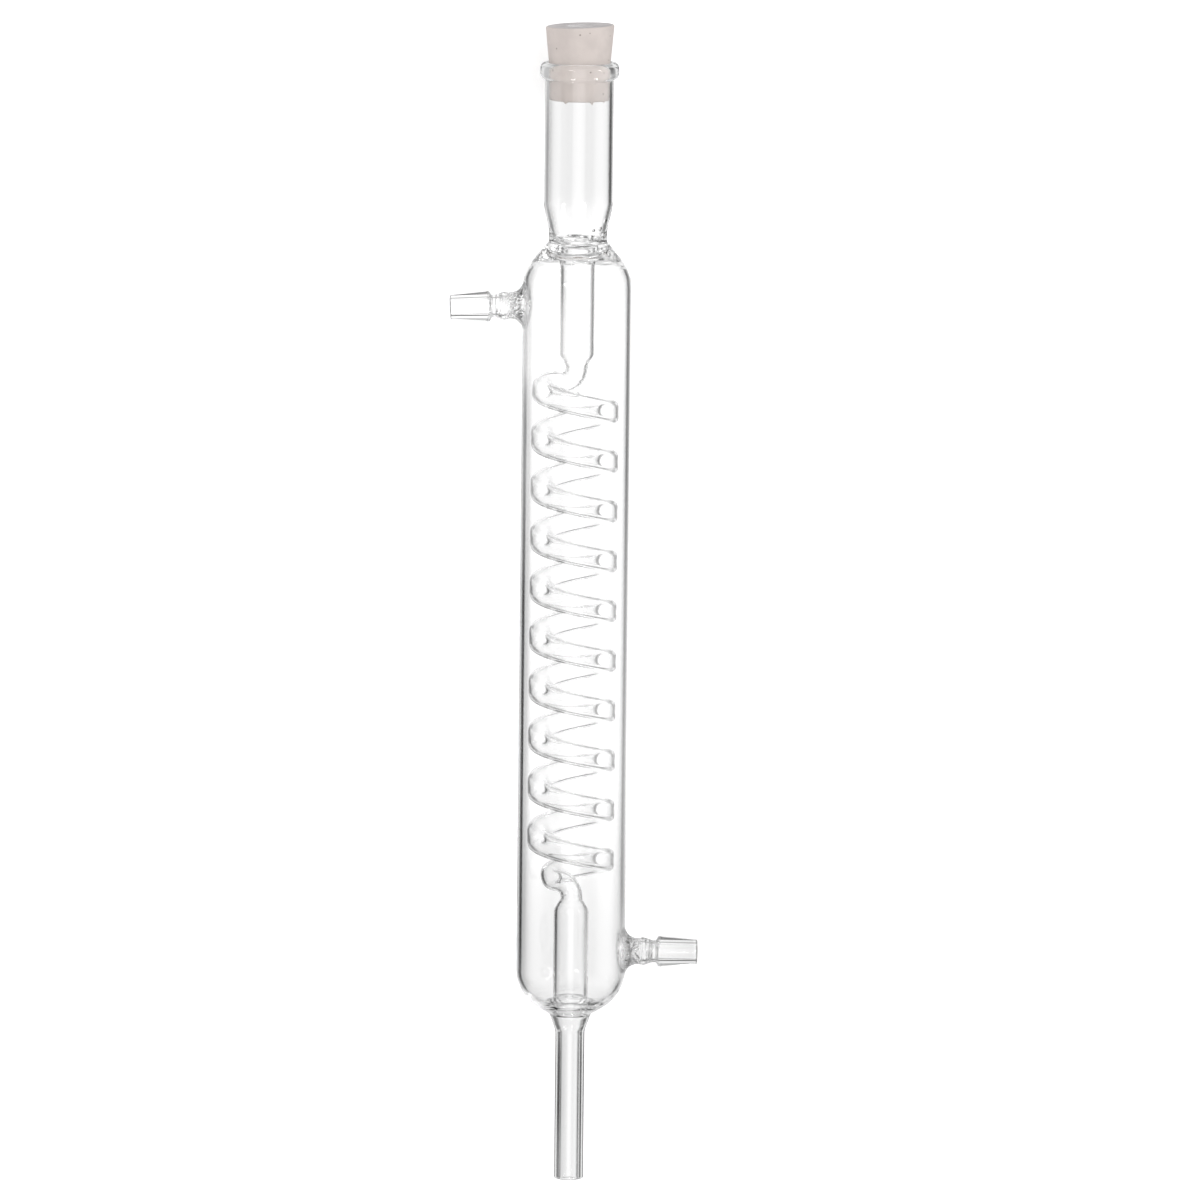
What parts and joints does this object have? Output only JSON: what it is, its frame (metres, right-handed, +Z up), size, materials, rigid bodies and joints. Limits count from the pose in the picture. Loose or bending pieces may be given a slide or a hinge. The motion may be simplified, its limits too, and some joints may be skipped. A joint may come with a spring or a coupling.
{
  "type": "coil condenser",
  "caption": "Laboratory glass condenser: a straight water jacket round a sealed-in glass coil, with hose connections, a drip stem and a rubber stopper in its neck.",
  "frame": {"origin": "centre of the base of the bounding box, on the floor that the condenser lies on", "axes": "+Y along the jacket from the stem to the neck and its stopper, +Z up from the floor, +X toward the side of the lower hose connection, which points up at a slant"},
  "size_m": [0.095, 0.4482, 0.042],
  "materials": {
    "clear_glass": "clear, fire-polished",
    "stopper_rubber": "matt, moulded"
  },
  "bodies": {
    "root": {"condenser_glass": "clear_glass", "neck_stopper": "stopper_rubber"}
  },
  "joints": []
}
